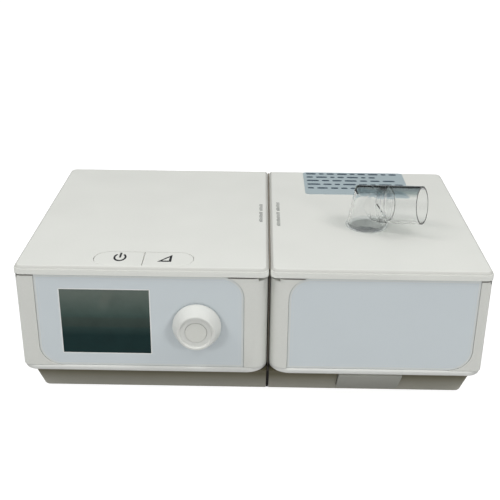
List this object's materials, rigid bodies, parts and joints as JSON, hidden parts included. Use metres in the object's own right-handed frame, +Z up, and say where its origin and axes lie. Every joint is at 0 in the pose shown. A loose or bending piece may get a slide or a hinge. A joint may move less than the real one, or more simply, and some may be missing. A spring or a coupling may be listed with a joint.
{
  "type": "mechanical ventilator",
  "caption": "Bench-top positive-pressure ventilator with a docked heated humidifier: screen, push-turn knob, top keys, hinged humidifier lid and swivelling clear outlet elbow.",
  "frame": {"origin": "middle of the bounding box at the height of the feet's lower faces", "axes": "+Z up, -Y out of the front with the screen and knob, +X towards the humidifier"},
  "size_m": [0.29, 0.1934, 0.1338],
  "materials": {
    "white_shell": "fine satin texture",
    "white_cover": "satin",
    "blue_panel": "glossy acrylic over a blue-grey backing",
    "dark_window": "gloss",
    "grey_base": "fine texture",
    "knob_white": "satin",
    "clear_plastic": "clear moulded polycarbonate",
    "label_film": "printed film",
    "black_rubber": "matte",
    "silicone": "soft silicone",
    "steel": "zinc plated",
    "aluminium": "satin",
    "circuit_board": "solder mask",
    "black_plastic": "matte",
    "grey_plastic": "satin",
    "foam": "open-cell foam",
    "filter_pad": "fibre pad",
    "card_blue": "gloss"
  },
  "bodies": {
    "blower_unit": {"main_base": "grey_base", "main_lip": "white_shell", "main_housing": "white_shell", "main_bezel": "white_shell", "main_front_panel": "blue_panel", "screen_window": "dark_window", "display_module": "black_plastic", "control_board": "circuit_board", "main_board": "circuit_board", "board_parts": "black_plastic", "main_top_cover": "white_cover", "key_board": "circuit_board", "key_switches": "black_plastic", "encoder_body": "grey_plastic", "blower_volute": "grey_plastic", "blower_cover": "grey_plastic", "blower_motor": "aluminium", "blower_mounts": "silicone", "blower_duct": "silicone", "outlet_port": "grey_plastic", "port_seal": "silicone", "intake_frame": "grey_plastic", "intake_filter": "filter_pad", "card_slot": "steel", "power_inlet": "black_plastic", "acoustic_foam": "foam", "main_feet": "black_rubber", "main_screws": "steel"},
    "power_key_cap": {"power_key": "white_cover"},
    "ramp_key_cap": {"ramp_key": "white_cover"},
    "knob_plunger": {"encoder_plunger": "steel"},
    "knob": {"control_knob": "knob_white", "knob_disc": "knob_white", "encoder_shaft": "steel"},
    "fan": {"rotor_shaft": "steel", "impeller": "black_plastic"},
    "filter_door": {"filter_cover": "white_shell"},
    "card": {"memory_card": "card_blue"},
    "lid": {"humidifier_lid": "white_cover", "label_plate": "label_film"},
    "outlet_elbow": {"elbow": "clear_plastic", "elbow_retainer": "grey_plastic", "outlet_tube": "clear_plastic"},
    "dock_tab": {"release_tab": "grey_base"},
    "humidifier": {"humidifier_base": "grey_base", "humidifier_lip": "white_shell", "humidifier_housing": "white_shell", "humidifier_bezel": "white_shell", "humidifier_front_panel": "blue_panel", "hinge_pins": "steel", "chamber_tub": "clear_plastic", "chamber_heat_plate": "aluminium", "chamber_seal": "silicone", "chamber_cover": "clear_plastic", "outlet_seal": "silicone", "heater_plate": "aluminium", "heater_springs": "steel", "humidifier_port": "grey_plastic", "humidifier_feet": "black_rubber", "humidifier_screws": "steel"}
  },
  "joints": [
    {"name": "power_key_press", "type": "slide", "parent": "blower_unit", "child": "power_key_cap", "axis": [0, 0, -1], "range_m": [0, 0.001], "stiffness_N_per_m": 600, "springref_m": -0.0008},
    {"name": "ramp_key_press", "type": "slide", "parent": "blower_unit", "child": "ramp_key_cap", "axis": [0, 0, -1], "range_m": [0, 0.001], "stiffness_N_per_m": 600, "springref_m": -0.0008},
    {"name": "knob_press", "type": "slide", "parent": "blower_unit", "child": "knob_plunger", "axis": [0, 1, 0], "range_m": [0, 0.0006], "stiffness_N_per_m": 1500, "springref_m": -0.0006},
    {"name": "knob_turn", "type": "hinge", "parent": "knob_plunger", "child": "knob", "pos_m": [-0.0343, -0.08, 0.06115], "axis": [0, 1, 0], "continuous": true},
    {"name": "impeller_spin", "type": "hinge", "parent": "blower_unit", "child": "fan", "pos_m": [-0.078, 0.018, 0.06], "axis": [0, 0, 1], "continuous": true},
    {"name": "filter_cover_open", "type": "hinge", "parent": "blower_unit", "child": "filter_door", "pos_m": [-0.104, 0.09295, 0.0502], "axis": [-1, 0, 0], "range_deg": [0, 100]},
    {"name": "memory_card_eject", "type": "slide", "parent": "blower_unit", "child": "card", "axis": [-1, 0, 0], "range_m": [0, 0.026]},
    {"name": "humidifier_undock", "type": "slide", "parent": "blower_unit", "child": "humidifier", "axis": [1, 0, 0], "range_m": [0, 0.03]},
    {"name": "lid_open", "type": "hinge", "parent": "humidifier", "child": "lid", "pos_m": [0.0777, 0.09475, 0.0948], "axis": [-1, 0, 0], "range_deg": [0, 95]},
    {"name": "elbow_swivel", "type": "hinge", "parent": "lid", "child": "outlet_elbow", "pos_m": [0.0752, -0.01515, 0.1], "axis": [0, 0, 1], "continuous": true},
    {"name": "release_tab_press", "type": "slide", "parent": "humidifier", "child": "dock_tab", "axis": [0, 0.7856, 0.6188], "range_m": [0, 0.0015], "stiffness_N_per_m": 800, "springref_m": -0.001}
  ]
}
